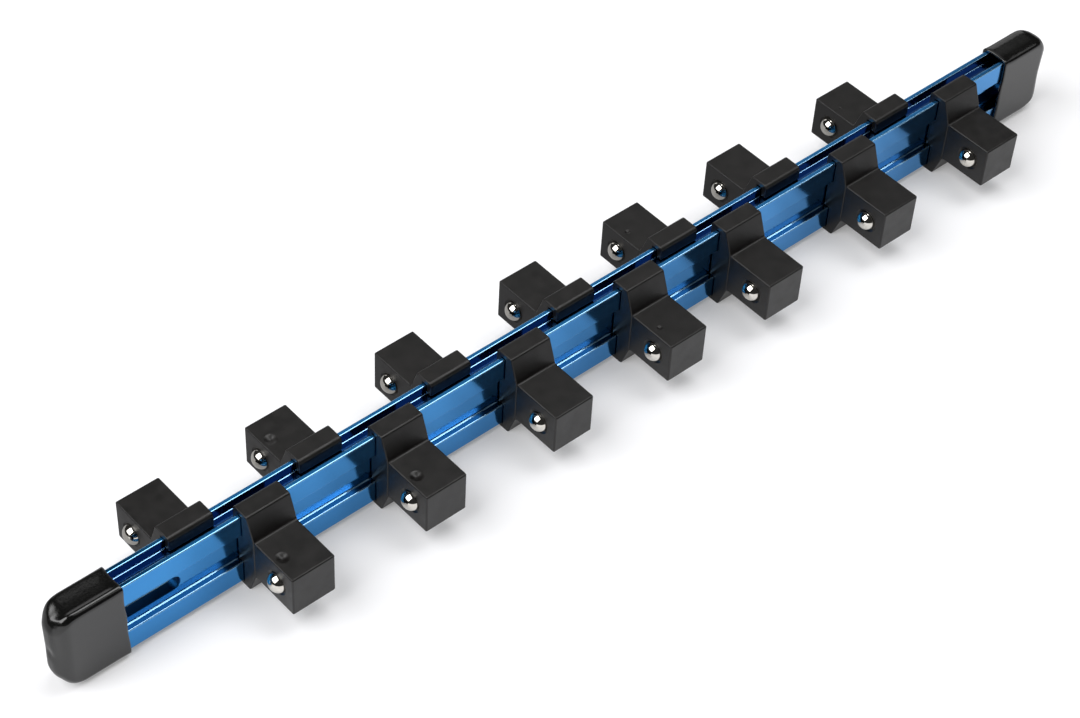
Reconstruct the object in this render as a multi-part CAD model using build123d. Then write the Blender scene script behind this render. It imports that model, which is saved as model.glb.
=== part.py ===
from build123d import *
from math import cos, radians, sin
import os

# Double sided socket rail. Millimetres, +Z up, X along the rail, Y from front to rear.
# The origin is under the middle of the rail, on the plane that the clips stand on.

# Rail: one extrusion, a channel along its top and bottom edge and a recess along each side
rail_length = 349.0
rail_width = 7.3
rail_height = 24.3
web_thickness = 3.1
lip_height = 7.0
channel_wall = 1.45
channel_depth = 2.95
rail_outer_radius = 0.5
rail_inner_radius = 0.35

# Hanging slot through the web near each end
slot_width = 6.0
slot_length = 24.0
slot_setback = 11.0

# End caps: soft vinyl, sagging between the channel walls and at the middle of the end
cap_wall = 1.0
cap_cover = 17.5
cap_end_thickness = 3.0
cap_corner_radius = 3.6
cap_edge_radius = 2.2
cap_waist_depth = 0.6
cap_sag_depth = 0.5
cap_sag_width = 5.4

# Clips: saddle that hooks over both edges of the rail, with a square drive post
clip_width = 13.5
post_side = 12.7
post_length = 15.2
post_edge_chamfer = 0.5
saddle_cover = 1.58
saddle_top_reach = 2.35
saddle_root_reach = 4.95
saddle_back_radius = 1.2
saddle_front_radius = 0.7
hook_gap = 0.4
hook_end_chamfer = 0.4
slide_clearance = 0.12
hook_end_clearance = 0.25
pad_clearance = 0.25

# Detent: ball, its staked bore and its spring
ball_diameter = 6.0
ball_from_tip = 6.3
ball_inset = 0.6
ball_clearance = 0.06
lip_clearance = 0.03
lip_depth = 0.45
bore_end_wall = 2.7
ball_sides = 16
spring_diameter = 4.7
spring_wire = 0.6
spring_clearance = 0.06
spring_sides = 12

# Where each clip's centre stands, as a share of the free half of the track
front_places = (-0.767, -0.486, -0.199, 0.073, 0.318, 0.622, 0.907)
rear_places = (-0.891, -0.626, -0.344, -0.056, 0.196, 0.462, 0.759)

# Sizes that follow from those above
rail_end = rail_length / 2
half_width = rail_width / 2
half_height = rail_height / 2
web_face = web_thickness / 2
recess_half = half_height - lip_height
channel_half = half_width - channel_wall
channel_floor = half_height - channel_depth
saddle_underside = half_height + slide_clearance
saddle_top = saddle_underside + saddle_cover
middle_z = saddle_top
cap_mouth = rail_end - cap_cover
cap_end = rail_end + cap_end_thickness
track_half = cap_mouth - clip_width / 2
post_half = post_side / 2
post_root = half_width + saddle_root_reach
post_tip = post_root + post_length
ball_radius = ball_diameter / 2
ball_reach = post_tip - ball_from_tip
bore_radius = ball_radius + ball_clearance
bore_depth = post_side - bore_end_wall
lip_radius = (ball_radius**2 - ball_inset**2) ** 0.5 + lip_clearance


def rounded(outline, radius_at):
    """Close an outline of (u, v) points as a face in the YZ plane, with a radius at chosen corners."""
    wire = Polyline([(0, u, v) for u, v in outline], close=True)
    face = make_face(wire)
    for radius in sorted(set(radius_at.values())):
        spots = [spot for spot, value in radius_at.items() if value == radius]
        corners = [
            corner
            for corner in face.vertices()
            if any((corner.Y - u) ** 2 + (corner.Z - v) ** 2 < 1e-8 for u, v in spots)
        ]
        face = fillet(corners, radius)
    return face


def mirrored_outline(upper):
    """Add the lower half of an outline, which mirrors the upper half."""
    lower = [(u, -v) for u, v in reversed(upper)]
    return upper + lower


def raised(solid):
    """Lift a solid that was drawn round the rail's axis to the height of the rail."""
    return Pos(0, 0, middle_z) * solid


def make_rail():
    """The extrusion: a web with a lipped channel along its top and bottom, and the two slots."""
    top_right = [
        (web_face, 0),
        (web_face, recess_half),
        (half_width, recess_half),
        (half_width, half_height),
        (channel_half, half_height),
        (channel_half, channel_floor),
    ]
    right = [(u, -v) for u, v in reversed(top_right[1:])] + top_right[1:]
    left = [(-u, v) for u, v in reversed(right)]
    radius_at = {}
    for side in (1, -1):
        for level in (1, -1):
            radius_at[(side * half_width, level * half_height)] = rail_outer_radius
            radius_at[(side * half_width, level * recess_half)] = rail_outer_radius
            radius_at[(side * channel_half, level * half_height)] = rail_outer_radius
            radius_at[(side * channel_half, level * channel_floor)] = rail_inner_radius
    profile = rounded(right + left, radius_at)
    rail = extrude(profile, rail_end, dir=(1, 0, 0), both=True)
    slot_middle = rail_end - slot_setback - slot_length / 2
    for side in (1, -1):
        slot = Plane.XZ * SlotOverall(slot_length, slot_width)
        cutter = extrude(slot, rail_width, both=True)
        rail -= Pos(side * slot_middle, 0, 0) * cutter
    return raised(rail)


def cap_side_outline():
    """The cap from the side, from the mouth round the end: rounded corners and a shallow waist."""
    top = half_height + cap_wall
    shoulder = top - cap_corner_radius
    corner_x = cap_end - cap_corner_radius
    diagonal = cap_corner_radius / 2**0.5
    upper = ThreePointArc(
        (corner_x, top), (corner_x + diagonal, shoulder + diagonal), (cap_end, shoulder)
    )
    waist = ThreePointArc(
        (cap_end, shoulder), (cap_end - cap_waist_depth, 0), (cap_end, -shoulder)
    )
    lower = ThreePointArc(
        (cap_end, -shoulder), (corner_x + diagonal, -shoulder - diagonal), (corner_x, -top)
    )
    sides = Polyline([(corner_x, -top), (cap_mouth, -top), (cap_mouth, top), (corner_x, top)])
    return Plane.XZ * make_face([upper, waist, lower, *sides.edges()])


def make_right_cap():
    """The vinyl cap on the right end: where its three outlines meet, hollowed to fit the rail."""
    half_thick = half_width + cap_wall
    top = half_height + cap_wall
    length = cap_end - cap_mouth
    side_view = extrude(cap_side_outline(), half_thick, dir=(0, 1, 0), both=True)
    plan = Rectangle(2 * length, 2 * half_thick)
    plan = fillet(plan.vertices(), cap_edge_radius)
    plan_view = Pos(cap_mouth, 0, 0) * extrude(plan, top, both=True)
    section = Plane.YZ * RectangleRounded(2 * half_thick, 2 * top, cap_edge_radius)
    end_view = Pos(cap_mouth, 0, 0) * extrude(section, length)
    cap = side_view & plan_view & end_view
    sag_radius = (cap_sag_width**2 / 4 + cap_sag_depth**2) / (2 * cap_sag_depth)
    for level in (1, -1):
        groove = Rot(0, 90, 0) * Cylinder(sag_radius, 2 * length + 1)
        cap -= Pos(cap_mouth, 0, level * (top + sag_radius - cap_sag_depth)) * groove
    hollow = Plane.YZ * RectangleRounded(rail_width, rail_height, rail_outer_radius)
    cap -= Pos(cap_mouth, 0, 0) * extrude(hollow, cap_cover)
    return raised(cap)


def make_saddle():
    """The saddle of a rear clip, drawn from the side and given the clip's width."""
    pad_face = web_face + pad_clearance
    pad_half = recess_half - slide_clearance
    back = half_width + slide_clearance
    hook_back = hook_gap / 2
    hook_front = channel_half - slide_clearance
    hook_end = channel_floor + hook_end_clearance
    top_reach = half_width + saddle_top_reach
    upper = [
        (pad_face, pad_half),
        (back, pad_half),
        (back, saddle_underside),
        (hook_front, saddle_underside),
        (hook_front, hook_end + hook_end_chamfer),
        (hook_front - hook_end_chamfer, hook_end),
        (hook_back + hook_end_chamfer, hook_end),
        (hook_back, hook_end + hook_end_chamfer),
        (hook_back, saddle_top),
        (top_reach, saddle_top),
        (post_root, post_half),
    ]
    radius_at = {}
    for level in (1, -1):
        radius_at[(hook_back, level * saddle_top)] = saddle_back_radius
        radius_at[(top_reach, level * saddle_top)] = saddle_front_radius
    profile = rounded(mirrored_outline(upper), radius_at)
    return extrude(profile, clip_width / 2, dir=(1, 0, 0), both=True)


def make_post():
    """The square drive post of a rear clip, rooted inside the saddle."""
    length = post_length + saddle_root_reach / 2
    post = Box(post_side, length, post_side, align=(Align.CENTER, Align.MAX, Align.CENTER))
    post = Pos(0, post_tip, 0) * post
    tip = post.faces().sort_by(Axis.Y)[-1]
    return chamfer(post.edges().filter_by(Axis.Y) + tip.edges(), post_edge_chamfer)


def make_ball_bore():
    """What is cut from the post for the ball: a bore that narrows to a staked lip at its mouth."""
    face = -post_half
    outline = Polyline(
        [
            (face - 1, 0),
            (face - 1, lip_radius),
            (face, lip_radius),
            (face + lip_depth, bore_radius),
            (face + bore_depth, bore_radius),
            (face + bore_depth, 0),
        ],
        close=True,
    )
    return Pos(0, ball_reach, 0) * revolve(make_face(outline), Axis.X)


def make_rear_clip():
    """A whole clip on the rear of the rail, at the middle of the track."""
    return make_saddle() + make_post() - make_ball_bore()


def make_ball():
    """The detent ball of a rear clip, in flats that keep fourteen balls light."""
    rings = []
    for band in range(1, ball_sides // 2):
        angle = 360 / ball_sides * band
        ring_radius = ball_radius * sin(radians(angle))
        level = ball_radius * cos(radians(angle))
        ring = [
            Vector(ring_radius, 0, level).rotate(Axis.Z, 360 / ball_sides * side)
            for side in range(ball_sides)
        ]
        rings.append(ring)
    faces = []
    for upper, lower in zip(rings, rings[1:]):
        for side in range(ball_sides):
            after = (side + 1) % ball_sides
            corners = [upper[side], upper[after], lower[after], lower[side]]
            faces.append(Face(Wire.make_polygon(corners)))
    for ring, pole in ((rings[0], ball_radius), (rings[-1], -ball_radius)):
        for side in range(ball_sides):
            corners = [ring[side], ring[(side + 1) % ball_sides], Vector(0, 0, pole)]
            faces.append(Face(Wire.make_polygon(corners)))
    ball = Solid(Shell(faces))
    return Pos(ball_inset - post_half, ball_reach, 0) * Rot(0, 90, 0) * ball


def make_spring():
    """The spring behind the ball, as the sleeve that its coils fill, seated at the bore's end."""
    outer = spring_diameter / 2
    inner = outer - spring_wire
    near_ball = ball_inset + (ball_radius**2 - inner**2) ** 0.5 + spring_clearance
    ring = Plane.YZ * (RegularPolygon(outer, spring_sides) - RegularPolygon(inner, spring_sides))
    return Pos(near_ball - post_half, ball_reach, 0) * extrude(ring, bore_depth - near_ball)


def to_front(solid):
    """Turn a rear piece half a turn about the rail's axis, which puts it on the front."""
    return Rot(180, 0, 0) * solid


def save(solid, name):
    """Write one named piece."""
    solid.label = name
    export_step(solid, f"parts/{name}.step")


def save_row(side, places):
    """Write the clips, balls and springs of one side of the rail."""
    pieces = {"clip": make_rear_clip(), "ball": make_ball(), "spring": make_spring()}
    for kind, piece in pieces.items():
        if side == "front":
            piece = to_front(piece)
        for number, place in enumerate(places, start=1):
            save(Pos(place * track_half, 0, middle_z) * piece, f"{side}_{kind}_{number}")


os.makedirs("parts", exist_ok=True)
save(make_rail(), "rail")
right_cap = make_right_cap()
save(right_cap, "right_end_cap")
save(mirror(right_cap, about=Plane.YZ), "left_end_cap")
save_row("rear", rear_places)
save_row("front", front_places)
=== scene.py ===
import logging
import math
from dataclasses import dataclass, field
from enum import Enum
from typing import Any, Optional, Sequence

import bmesh
import bpy
from mathutils import Matrix, Vector


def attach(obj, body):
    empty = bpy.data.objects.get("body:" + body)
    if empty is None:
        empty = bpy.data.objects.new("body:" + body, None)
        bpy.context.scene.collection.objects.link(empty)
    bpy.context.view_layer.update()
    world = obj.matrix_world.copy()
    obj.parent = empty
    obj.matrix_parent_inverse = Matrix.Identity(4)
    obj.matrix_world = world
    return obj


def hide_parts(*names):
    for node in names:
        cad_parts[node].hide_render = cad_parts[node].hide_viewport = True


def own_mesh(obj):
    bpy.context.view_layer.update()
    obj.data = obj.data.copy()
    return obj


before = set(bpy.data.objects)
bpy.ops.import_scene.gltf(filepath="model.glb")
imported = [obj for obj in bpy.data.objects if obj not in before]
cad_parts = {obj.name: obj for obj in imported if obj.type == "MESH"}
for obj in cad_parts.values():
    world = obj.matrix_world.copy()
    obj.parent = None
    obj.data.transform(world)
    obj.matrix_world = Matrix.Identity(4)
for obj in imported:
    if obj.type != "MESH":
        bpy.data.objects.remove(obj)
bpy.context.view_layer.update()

LOG = logging.getLogger("socket_rail")
MM = 0.001
MIDDLE_Z = 13.85
MERGE = 1e-7
WELD = 1e-6
PAINTED_LIGHT_SHARES = "film_shares"
FLOAT, VECTOR, OBJECT = "NodeSocketFloat", "NodeSocketVector", "NodeSocketObject"
GEOMETRY, MATERIAL = "NodeSocketGeometry", "NodeSocketMaterial"
Point = tuple[float, float]
Corner = tuple[float, float, float]
Material, Mesh, Object = bpy.types.Material, bpy.types.Mesh, bpy.types.Object
Node, Socket, Tree = bpy.types.Node, bpy.types.NodeSocket, bpy.types.NodeTree


class Side(Enum):
    """The side of the rail that a clip is on: its name and its turn about the rail's axis."""

    FRONT = ("front", math.pi)
    REAR = ("rear", 0.0)

    @property
    def label(self) -> str:
        """The word that the names of pieces begin with."""
        return self.value[0]

    @property
    def turn(self) -> float:
        """How far a rear piece is turned about X to be here, in radians."""
        return self.value[1]

    @property
    def up(self) -> float:
        """Which way up is in the piece's own frame, 1 or -1."""
        return -1.0 if self is Side.FRONT else 1.0


class Mark(Enum):
    """The sink mark on a post's top face: the width and the depth of its dish in millimetres."""

    NONE = (0.0, 0.0)
    TINY = (1.2, 0.2)
    SMALL = (2.0, 0.3)
    LARGE = (4.2, 0.65)


def linear(hex_colour: str) -> tuple[float, float, float, float]:
    """Turn an sRGB hex colour into a linear one.

    Args:
        hex_colour: The colour as "#RRGGBB".

    Returns:
        Red, green, blue and an alpha of 1.
    """
    values = [int(hex_colour[i:i + 2], 16) / 255 for i in (1, 3, 5)]
    red, green, blue = (v / 12.92 if v <= 0.04045 else ((v + 0.055) / 1.055) ** 2.4 for v in values)
    return red, green, blue, 1.0


def fill(tree: Tree, node: Node, inputs: dict[Any, Any]) -> None:
    """Set a node's inputs.

    Args:
        tree: The node's tree.
        node: The node.
        inputs: Input name or index to a value, to the socket that feeds it, or to the node
            whose first output feeds it.
    """
    for key, value in inputs.items():
        if isinstance(value, Node):
            value = value.outputs[0]
        if isinstance(value, Socket):
            tree.links.new(value, node.inputs[key])
        else:
            node.inputs[key].default_value = value


def add_node(tree: Tree, kind: str, inputs: Optional[dict[Any, Any]] = None, **settings: Any) -> Node:
    """Add a node with its settings and its inputs.

    Args:
        tree: The tree that gets the node.
        kind: The node's type.
        inputs: The inputs, as `fill` takes them.
        **settings: Attributes of the node.

    Returns:
        The new node.
    """
    node = tree.nodes.new(kind)
    for name, value in settings.items():
        setattr(node, name, value)
    fill(tree, node, inputs or {})
    return node


def new_material(name: str) -> tuple[Material, Tree, Node]:
    """Start a material with a shader on its output.

    Args:
        name: The finish's plain name.

    Returns:
        The material, its tree and its Principled shader.
    """
    material = bpy.data.materials.new(name)
    material.use_nodes = True
    tree = material.node_tree
    tree.nodes.clear()
    shader = add_node(tree, "ShaderNodeBsdfPrincipled")
    add_node(tree, "ShaderNodeOutputMaterial", {"Surface": shader})
    return material, tree, shader


def stretched_noise(tree: Tree, size_mm: Sequence[float], detail: float = 2.0) -> Node:
    """Add a noise on Object coordinates whose grain has a real size along each axis.

    Args:
        tree: The material's tree.
        size_mm: The grain's size along X, Y and Z in millimetres.
        detail: The noise's octaves.

    Returns:
        The noise.
    """
    place = add_node(tree, "ShaderNodeTexCoord")
    scale = [1 / (size * MM) for size in size_mm]
    mapping = add_node(tree, "ShaderNodeMapping", {"Vector": place.outputs["Object"], "Scale": scale})
    return add_node(tree, "ShaderNodeTexNoise", {"Vector": mapping, "Scale": 1.0, "Detail": detail})


def ramp(tree: Tree, value: Socket | Node, source: Point, target: Point, **settings: str) -> Node:
    """Map a value from one range to another, held at the ends.

    Args:
        tree: The material's tree.
        value: What is mapped.
        source: The range it comes in.
        target: The range it goes out in.
        **settings: Attributes of the node.

    Returns:
        The mapping node.
    """
    limits = dict(zip(("From Min", "From Max", "To Min", "To Max"), (*source, *target)))
    return add_node(tree, "ShaderNodeMapRange", {"Value": value, **limits}, **settings)


def blend_colours(tree: Tree, factor: Socket | Node, low: str | Socket, high: str) -> Socket:
    """Mix two colours by a value.

    Args:
        tree: The material's tree.
        factor: The mixing value.
        low: The colour at 0, in hex or from a socket.
        high: The colour at 1, in hex.

    Returns:
        The mixed colour.
    """
    inputs = {0: factor, 6: linear(low) if isinstance(low, str) else low, 7: linear(high)}
    return add_node(tree, "ShaderNodeMix", inputs, data_type="RGBA").outputs[2]


def bump(tree: Tree, height: Node, depth_mm: float, strength: float = 1.0) -> Node:
    """Add a bump whose height is in real millimetres.

    Args:
        tree: The material's tree.
        height: The height, 0 to 1.
        depth_mm: The height at 1, in millimetres.
        strength: The bump's strength.

    Returns:
        The bump.
    """
    inputs = {"Height": height, "Distance": depth_mm * MM, "Strength": strength}
    return add_node(tree, "ShaderNodeBump", inputs)


@dataclass(frozen=True)
class AnodisedAluminium:
    """Extruded aluminium, bright dipped and anodised blue: a tinted mirror under a clear skin.

    The metal shows its surroundings in blue. The recesses' ledges are painted paler, a painted highlight that
    also shows in their reflection in the web, and the channels are painted a deeper blue, a painted shade.
    The clear oxide on top keeps highlights nearly white. The tight corners are painted nearly white, a
    painted highlight. The die leaves very fine lines along X, and the punched walls of the slots stay rough
    and are painted dark, a painted shade.
    """

    name: str = "blue_anodised_aluminium"
    light: str = "#1A85C9"
    deep: str = "#147BC0"
    # Painted highlight: the long edges and the recesses' facets are painted nearly white so that they flash.
    corner: str = "#93C3E9"
    # Painted shade: the slots' walls are painted dark blue.
    cut: str = "#0D3A66"
    # Painted highlight: the recesses' ledges are painted paler, which also brightens their reflection in the
    # web.
    ledge: str = "#86B9DA"
    # Painted shade: the channels are painted a deeper blue.
    channel: str = "#0C4F8A"
    line_mm: Corner = (60.0, 0.16, 0.16)
    cloud_mm: Corner = (40.0, 9.0, 9.0)
    line_depth_mm: float = 0.0002
    worn: Point = (0.3, 0.75)
    roughness: Point = (0.1, 0.17)
    cut_rough: float = 0.42
    skin: float = 0.35
    skin_ior: float = 1.6
    skin_rough: float = 0.1

    def build(self) -> Material:
        """Make the material.

        Returns:
            The material, which reads the shares of painted light from the rail's attribute.
        """
        material, tree, shader = new_material(self.name)
        lines = stretched_noise(tree, self.line_mm)
        clouds = stretched_noise(tree, self.cloud_mm)
        shares = add_node(tree, "ShaderNodeAttribute", attribute_name=PAINTED_LIGHT_SHARES)
        split = add_node(tree, "ShaderNodeSeparateColor", {0: shares})
        base_and_painted_light = blend_colours(tree, clouds, self.deep, self.light)
        parts = (*split.outputs, shares.outputs["Alpha"])
        # The shares lay painted light over the blue: a painted highlight on the edges, painted shade on the
        # slots' walls and in the channels, and paler paint on the ledges.
        for share, tint in zip(parts, (self.corner, self.cut, self.ledge, self.channel)):
            base_and_painted_light = blend_colours(tree, share, base_and_painted_light, tint)
        drawn = ramp(tree, lines, self.worn, self.roughness)
        torn = ramp(tree, split.outputs[1], (0.0, 1.0), (0.0, self.cut_rough))
        inputs = {
            "Metallic": 1.0,
            "Coat IOR": self.skin_ior,
            "Coat Roughness": self.skin_rough,
            "Base Color": base_and_painted_light,
            "Coat Weight": ramp(tree, split.outputs[1], (0.0, 1.0), (self.skin, 0.0)),
            "Roughness": add_node(tree, "ShaderNodeMath", {0: drawn, 1: torn}, operation="MAXIMUM"),
            "Normal": bump(tree, lines, self.line_depth_mm),
        }
        fill(tree, shader, inputs)
        return material


@dataclass(frozen=True)
class MouldedNylon:
    """Black glass filled nylon with the fine matte grain of a spark eroded mould.

    Its faces stay nearly black until they mirror the pale floor at a shallow angle,
    and worn patches on the grain are a little glossier.
    """

    name: str = "black_moulded_nylon"
    dark: str = "#0A0908"
    light: str = "#12100F"
    grain_mm: float = 0.28
    grain_detail: float = 3.0
    cloud_mm: float = 3.5
    cloud_detail: float = 4.0
    grain_depth_mm: float = 0.012
    grain_strength: float = 0.7
    worn: Point = (0.3, 0.7)
    roughness: Point = (0.33, 0.44)
    ior: float = 1.53
    specular: float = 0.34

    def build(self) -> Material:
        """Make the material.

        Returns:
            The material.
        """
        material, tree, shader = new_material(self.name)
        grain = stretched_noise(tree, (self.grain_mm,) * 3, self.grain_detail)
        clouds = stretched_noise(tree, (self.cloud_mm,) * 3, self.cloud_detail)
        patches = ramp(tree, clouds, self.worn, (0.0, 1.0))
        inputs = {
            "IOR": self.ior,
            "Specular IOR Level": self.specular,
            "Base Color": blend_colours(tree, patches, self.dark, self.light),
            "Roughness": ramp(tree, clouds, self.worn, self.roughness),
            "Normal": bump(tree, grain, self.grain_depth_mm, self.grain_strength),
        }
        fill(tree, shader, inputs)
        return material


@dataclass(frozen=True)
class DippedVinyl:
    """Black plastisol vinyl, dipped and cured on a former: smooth, soft and glossy.

    The dip leaves a slow orange peel, so highlights on it waver, and dust dulls it in specks.
    """

    name: str = "black_dipped_vinyl"
    dark: str = "#080808"
    light: str = "#0D0D0C"
    peel_mm: float = 3.2
    peel_depth_mm: float = 0.02
    dust_mm: float = 0.5
    dust_detail: float = 3.0
    dusty: Point = (0.35, 0.8)
    roughness: Point = (0.13, 0.24)
    ior: float = 1.54

    def build(self) -> Material:
        """Make the material.

        Returns:
            The material.
        """
        material, tree, shader = new_material(self.name)
        peel = stretched_noise(tree, (self.peel_mm,) * 3)
        dust = stretched_noise(tree, (self.dust_mm,) * 3, self.dust_detail)
        inputs = {
            "IOR": self.ior,
            "Base Color": blend_colours(tree, peel, self.dark, self.light),
            "Roughness": ramp(tree, dust, self.dusty, self.roughness),
            "Normal": bump(tree, peel, self.peel_depth_mm),
        }
        fill(tree, shader, inputs)
        return material


@dataclass(frozen=True)
class PolishedSteel:
    """Hardened ball bearing steel, lapped to a mirror, with a film of hairline scuffs."""

    name: str = "polished_ball_steel"
    dark: str = "#BDBAB4"
    light: str = "#DEDAD2"
    grain_mm: float = 0.5
    detail: float = 4.0
    worn: Point = (0.4, 0.75)
    roughness: Point = (0.03, 0.12)

    def build(self) -> Material:
        """Make the material.

        Returns:
            The material.
        """
        material, tree, shader = new_material(self.name)
        grain = stretched_noise(tree, (self.grain_mm,) * 3, self.detail)
        inputs = {
            "Metallic": 1.0,
            "Base Color": blend_colours(tree, grain, self.dark, self.light),
            "Roughness": ramp(tree, grain, self.worn, self.roughness),
        }
        fill(tree, shader, inputs)
        return material


@dataclass(frozen=True)
class SpringWire(PolishedSteel):
    """Hard drawn spring wire: grey steel with draw lines too fine to show but as a soft sheen."""

    name: str = "drawn_spring_wire"
    dark: str = "#6E6D6C"
    light: str = "#A3A2A0"
    grain_mm: float = 0.3
    detail: float = 3.0
    worn: Point = (0.3, 0.7)
    roughness: Point = (0.24, 0.4)


@dataclass(frozen=True)
class StudioPaper:
    """White background paper that burns out towards white and keeps the object's soft shadow.

    A gloss sees the paper behind the rail painted grey, a painted shade in the reflections, so that the faces
    turned to the left stay dark.
    """

    name: str = "white_studio_paper"
    colour: str = "#F3F3F5"
    # Painted shade: the grey that glossy rays see on the paper behind the rail.
    grey: str = "#868688"
    turn_mm: Point = (-12.0, 12.0)
    rough: float = 0.9
    glow: float = 1.0
    share: float = 0.25

    def build(self) -> Material:
        """Make the material, which glows only where the camera or a gloss looks at it.

        Returns:
            The material.
        """
        material, tree, shader = new_material(self.name)
        path = add_node(tree, "ShaderNodeLightPath")
        place = add_node(tree, "ShaderNodeTexCoord")
        apart = add_node(tree, "ShaderNodeSeparateXYZ", {"Vector": place.outputs["Object"]})
        # Painted shade: behind the rail the paper is painted grey for glossy rays only.
        start, end = (edge * MM for edge in self.turn_mm)
        behind = ramp(tree, apart.outputs["Y"], (start, end), (0.0, 1.0), interpolation_type="SMOOTHSTEP")
        camera, gloss = path.outputs["Is Camera Ray"], path.outputs["Is Glossy Ray"]
        painted_gloss_shade = add_node(tree, "ShaderNodeMath", {0: behind, 1: gloss}, operation="MULTIPLY")
        tint = blend_colours(tree, painted_gloss_shade, self.colour, self.grey)
        fill(tree, shader, {"Roughness": self.rough, "Specular IOR Level": 0.0, "Base Color": tint})
        seen = add_node(tree, "ShaderNodeMath", {0: camera, 1: gloss}, operation="MAXIMUM")
        amount = add_node(tree, "ShaderNodeMath", {0: seen, 1: self.share}, operation="MULTIPLY")
        glow = add_node(tree, "ShaderNodeEmission", {"Color": (1.0, 1.0, 1.0, 1.0), "Strength": self.glow})
        mixed = add_node(tree, "ShaderNodeMixShader", {0: amount, 1: shader, 2: glow})
        output = next(node for node in tree.nodes if node.type == "OUTPUT_MATERIAL")
        fill(tree, output, {"Surface": mixed})
        return material


def new_object(name: str, mesh: Mesh) -> Object:
    """Put a mesh in the scene as an object at the origin.

    Args:
        name: The object's name.
        mesh: Its mesh.

    Returns:
        The new object.
    """
    obj = bpy.data.objects.new(name, mesh)
    bpy.context.scene.collection.objects.link(obj)
    return obj


def mesh_object(name: str, vertices: Sequence[Vector], faces: Sequence[Sequence[int]]) -> Object:
    """Make an object from points in millimetres, with its faces turned outwards.

    Args:
        name: The object's name.
        vertices: The points, in millimetres.
        faces: The corners of each face.

    Returns:
        The new object.
    """
    shape = bmesh.new()
    points = [shape.verts.new(Vector(v) * MM) for v in vertices]
    for face in faces:
        shape.faces.new([points[i] for i in face])
    bmesh.ops.remove_doubles(shape, verts=shape.verts, dist=MERGE)
    bmesh.ops.recalc_face_normals(shape, faces=shape.faces)
    mesh = bpy.data.meshes.new(name)
    shape.to_mesh(mesh)
    shape.free()
    return new_object(name, mesh)


def face_outwards(obj: Object) -> None:
    """Merge an object's doubles and turn all its faces outwards.

    Args:
        obj: The object whose mesh is mended.
    """
    shape = bmesh.new()
    shape.from_mesh(obj.data)
    bmesh.ops.remove_doubles(shape, verts=shape.verts, dist=MERGE)
    bmesh.ops.recalc_face_normals(shape, faces=shape.faces)
    shape.to_mesh(obj.data)
    shape.free()


def dress(obj: Object, finish: Material) -> None:
    """Give an object one material and nothing else.

    Args:
        obj: The object.
        finish: The material for all its faces.
    """
    obj.data.materials.clear()
    obj.data.materials.append(finish)
    for polygon in obj.data.polygons:
        polygon.material_index = 0


def circle(steps: int) -> list[Point]:
    """Cosine and sine at equal steps round a circle."""
    angles = [2 * math.pi * i / steps for i in range(steps)]
    return [(math.cos(angle), math.sin(angle)) for angle in angles]


def arc(corner: Vector, back: Vector, ahead: Vector, radius: float, steps: int) -> list[Vector]:
    """The points of the arc that rounds a corner.

    Args:
        corner: The corner.
        back: The unit vector along the edge that comes in, away from the corner.
        ahead: The unit vector along the edge that goes out.
        radius: The arc's radius.
        steps: The arc's pieces.

    Returns:
        The points, from the edge that comes in to the one that goes out.
    """
    half_angle = back.angle(ahead) / 2
    reach = radius / math.tan(half_angle)
    middle = corner + (back + ahead).normalized() * (radius / math.sin(half_angle))
    first = corner + back * reach - middle
    sweep = (corner + ahead * reach - middle).angle_signed(first)
    return [middle + Matrix.Rotation(sweep * step / steps, 2) @ first for step in range(steps + 1)]


def rounded_outline(corners: Sequence[Corner], steps: int = 6) -> list[Point]:
    """Round the corners of a closed outline with arcs.

    Args:
        corners: Across, up and radius of each corner, in order.
        steps: The arc's pieces per corner.

    Returns:
        The points of the rounded outline.
    """
    points: list[Point] = []
    count = len(corners)
    for i, (u, v, radius) in enumerate(corners):
        if radius <= 0:
            points.append((u, v))
            continue
        here = Vector((u, v))
        back = (Vector(corners[i - 1][:2]) - here).normalized()
        ahead = (Vector(corners[(i + 1) % count][:2]) - here).normalized()
        points += [tuple(point) for point in arc(here, back, ahead, radius, steps)]
    return points


def inset(points: Sequence[Point], distance: float, sharpest: float = 0.4) -> list[Point]:
    """Move a closed outline inwards by a small distance.

    Args:
        points: The outline, in order.
        distance: How far each edge moves, in the outline's own unit.
        sharpest: The least cosine of half a corner's turn that its move is divided by.

    Returns:
        As many points as came in.
    """
    count = len(points)
    following = [*points[1:], points[0]]
    area = sum(u * v_next - u_next * v for (u, v), (u_next, v_next) in zip(points, following))
    turn = 1.0 if area > 0 else -1.0
    moved: list[Point] = []
    for i in range(count):
        here = Vector(points[i])
        before = (here - Vector(points[i - 1])).normalized()
        after = (Vector(following[i]) - here).normalized()
        normal_before = Vector((-before.y, before.x)) * turn
        normal_after = Vector((-after.y, after.x)) * turn
        middle = (normal_before + normal_after).normalized()
        stretch = max(sharpest, middle.dot(normal_after))
        moved.append(tuple(here + middle * (distance / stretch)))
    return moved


def band_faces(rings: int, count: int) -> list[list[int]]:
    """The four sided faces between rings of points.

    Args:
        rings: How many rings there are.
        count: The points of each.

    Returns:
        The corners of each face, with the points numbered ring after ring.
    """
    faces = []
    for low in range(0, (rings - 1) * count, count):
        for i in range(count):
            after = (i + 1) % count
            faces.append([low + i, low + after, low + count + after, low + count + i])
    return faces


def loft(name: str, sections: Sequence[Sequence[Vector]]) -> Object:
    """Skin sections of equal point counts, closed at both ends.

    Args:
        name: The object's name.
        sections: The rings of points, in millimetres.

    Returns:
        The closed object.
    """
    count = len(sections[0])
    vertices = [point for section in sections for point in section]
    last = (len(sections) - 1) * count
    ends = [list(range(count)), list(range(last, last + count))]
    return mesh_object(name, vertices, band_faces(len(sections), count) + ends)


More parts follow.
